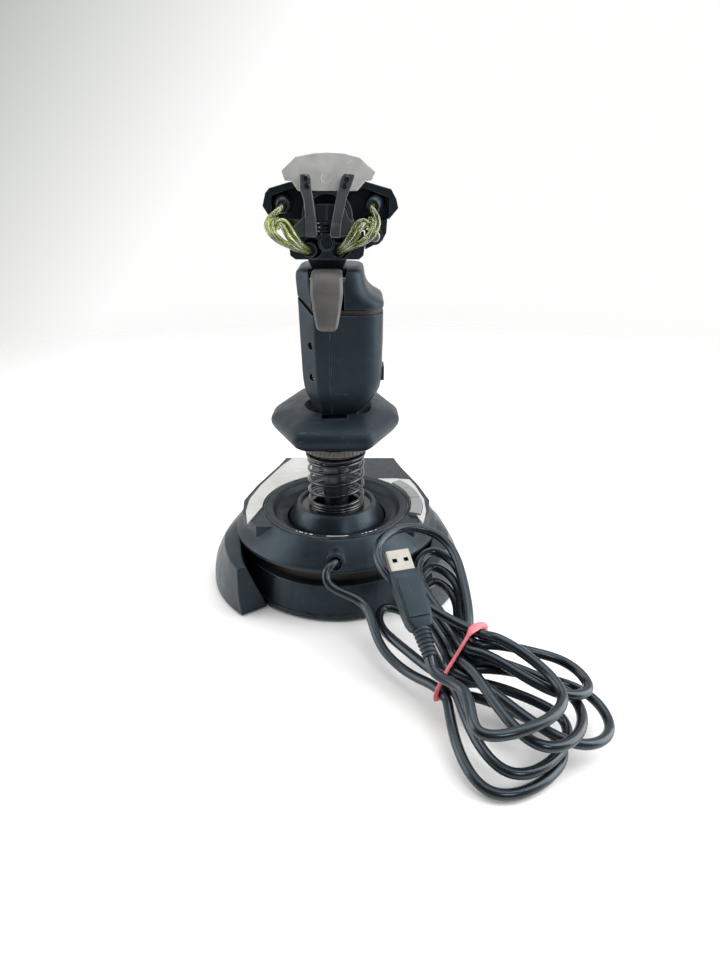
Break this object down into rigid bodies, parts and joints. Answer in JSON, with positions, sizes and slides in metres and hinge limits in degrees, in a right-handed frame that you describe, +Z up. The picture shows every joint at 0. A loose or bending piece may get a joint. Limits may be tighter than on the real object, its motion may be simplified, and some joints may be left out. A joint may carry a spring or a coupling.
{
  "type": "flight joystick",
  "caption": "Desktop flight joystick with a sprung two-axis stick, twist grip, adjustable head and hand rest, lever base and a tied cable.",
  "frame": {"origin": "on the floor, under the stick's axis", "axes": "+Z up, +Y away from the user towards the cable side, +X to the user's right"},
  "size_m": [0.2091, 0.2611, 0.2451],
  "materials": {
    "charcoal": "fine matt moulding grain",
    "satin_black": "satin moulded plastic",
    "dark_inside": "dark inner plastic",
    "grip_rubber": "soft-touch coating",
    "warm_grey": "matt warm grey",
    "arm_grey": "satin grey",
    "silver_sheet": "satin silver with fine scratches",
    "key_silver": "silver painted plastic",
    "spring_steel": "black oiled spring wire",
    "bright_steel": "plated steel",
    "black_shaft": "black shaft",
    "glow_clear": "clear yellow-green flexible tube",
    "cord_pvc": "black flexible cable",
    "plug_pvc": "moulded black plug",
    "nickel": "nickel plated shell",
    "white_plastic": "white insert",
    "red_rubber": "pink-red rubber",
    "foot_rubber": "rubber foot",
    "board_green": "circuit board"
  },
  "bodies": {
    "base": {"rubber_feet": "foot_rubber", "base_plate": "charcoal", "base_screws": "bright_steel", "lower_shell": "satin_black", "slot_band": "dark_inside", "fender_right": "satin_black", "fender_left": "satin_black", "top_shell": "satin_black", "dish": "charcoal", "deck_plate": "silver_sheet", "button_board": "board_green", "gimbal_cradle": "charcoal", "sensor_board": "board_green", "spring_seat": "black_shaft", "throttle_axle": "bright_steel", "cable_grommet": "plug_pvc", "usb_cable": "cord_pvc", "plug_body": "plug_pvc", "usb_shell": "nickel", "usb_tongue": "white_plastic", "cable_band": "red_rubber", "centering_spring": "spring_steel"},
    "lock_dial": {"lock_dial": "satin_black"},
    "base_button_1": {"base_button_1": "key_silver"},
    "base_button_2": {"base_button_2": "key_silver"},
    "base_button_3": {"base_button_3": "key_silver"},
    "throttle_lever_left": {"throttle_lever_left": "warm_grey"},
    "throttle_lever_right": {"throttle_lever_right": "warm_grey"},
    "gimbal": {"gimbal_ring": "charcoal", "roll_pins": "bright_steel"},
    "stick": {"stick_shaft": "black_shaft", "pitch_axle": "bright_steel", "spring_cap": "black_shaft"},
    "grip": {"neck_tube": "charcoal", "grip_right": "grip_rubber", "grip_left": "grip_rubber", "grip_screws": "bright_steel"},
    "hand_rest": {"hand_rest": "grip_rubber"},
    "rest_ring": {"rest_ring": "warm_grey"},
    "release_button": {"release_button": "charcoal"},
    "head": {"slide_post": "charcoal", "thumb_saddle": "grip_rubber", "trigger_pin": "bright_steel", "head_neck": "charcoal", "lower_head": "charcoal", "hub_ring": "arm_grey", "head_shell": "satin_black", "crest_plate": "silver_sheet", "bracket_arms": "arm_grey", "bracket_screws": "bright_steel", "tube_bosses": "charcoal", "glow_tubes": "glow_clear", "side_pod": "charcoal", "face_plate": "satin_black"},
    "trigger": {"trigger": "warm_grey"},
    "trim_wheel": {"trim_wheel": "key_silver"},
    "hat_cross": {"hat_cross": "charcoal"},
    "hat_cap": {"hat_cap": "charcoal"},
    "thumb_button_left": {"thumb_button_left": "key_silver"},
    "thumb_button_right": {"thumb_button_right": "key_silver"}
  },
  "joints": [
    {"name": "roll_tilt", "type": "hinge", "parent": "base", "child": "gimbal", "pos_m": [0, 0, 0.036], "axis": [0, 1, 0], "range_deg": [-14, 14], "stiffness_Nm_per_rad": 0.6, "deforming": ["centering_spring"]},
    {"name": "pitch_tilt", "type": "hinge", "parent": "gimbal", "child": "stick", "pos_m": [0, 0, 0.036], "axis": [1, 0, 0], "range_deg": [-14, 14], "stiffness_Nm_per_rad": 0.6, "deforming": ["centering_spring"]},
    {"name": "grip_twist", "type": "hinge", "parent": "stick", "child": "grip", "pos_m": [0, 0, 0.1], "axis": [0, 0, 1], "range_deg": [-20, 20], "stiffness_Nm_per_rad": 0.2},
    {"name": "rest_height", "type": "slide", "parent": "grip", "child": "hand_rest", "axis": [0, 0, 1], "range_m": [0, 0.004]},
    {"name": "rest_nut", "type": "hinge", "parent": "grip", "child": "rest_ring", "pos_m": [0, 0, 0.09], "axis": [0, 0, 1], "range_deg": [-1, 361]},
    {"name": "release_press", "type": "slide", "parent": "grip", "child": "release_button", "axis": [1, 0, 0], "range_m": [0, 0.0015]},
    {"name": "head_height", "type": "slide", "parent": "grip", "child": "head", "axis": [0, 0, 1], "range_m": [0, 0.012]},
    {"name": "trigger_pull", "type": "hinge", "parent": "head", "child": "trigger", "pos_m": [0.0022, 0.0135, 0.186], "axis": [-1, 0, 0], "range_deg": [0, 9]},
    {"name": "trim_turn", "type": "hinge", "parent": "head", "child": "trim_wheel", "pos_m": [-0.0219, 0.005, 0.2066], "axis": [0, 1, 0], "range_deg": [-60, 60]},
    {"name": "hat_up_down", "type": "hinge", "parent": "head", "child": "hat_cross", "pos_m": [0.002, -0.0162, 0.222], "axis": [1, 0, 0], "range_deg": [-9, 9]},
    {"name": "hat_left_right", "type": "hinge", "parent": "hat_cross", "child": "hat_cap", "pos_m": [0.002, -0.0162, 0.222], "axis": [0, 0, 1], "range_deg": [-9, 9]},
    {"name": "thumb_press_left", "type": "slide", "parent": "head", "child": "thumb_button_left", "axis": [0, 1, 0], "range_m": [0, 0.0014]},
    {"name": "thumb_press_right", "type": "slide", "parent": "head", "child": "thumb_button_right", "axis": [0, 1, 0], "range_m": [0, 0.0014]},
    {"name": "throttle_left", "type": "hinge", "parent": "base", "child": "throttle_lever_left", "pos_m": [-0.009, -0.064, 0.034], "axis": [-1, 0, 0], "range_deg": [-20, 20]},
    {"name": "throttle_right", "type": "hinge", "parent": "base", "child": "throttle_lever_right", "pos_m": [0.009, -0.064, 0.034], "axis": [-1, 0, 0], "range_deg": [-20, 20]},
    {"name": "lock_turn", "type": "hinge", "parent": "base", "child": "lock_dial", "pos_m": [0, 0, 0.045], "axis": [0, 0, 1], "range_deg": [0, 40]},
    {"name": "base_press_1", "type": "slide", "parent": "base", "child": "base_button_1", "axis": [0, 0, -1], "range_m": [0, 0.001]},
    {"name": "base_press_2", "type": "slide", "parent": "base", "child": "base_button_2", "axis": [0, 0, -1], "range_m": [0, 0.001]},
    {"name": "base_press_3", "type": "slide", "parent": "base", "child": "base_button_3", "axis": [0, 0, -1], "range_m": [0, 0.001]}
  ],
  "couplings": [
    {"joint": "rest_nut", "follows": "rest_height", "rad_per_m": 1570.8}
  ]
}
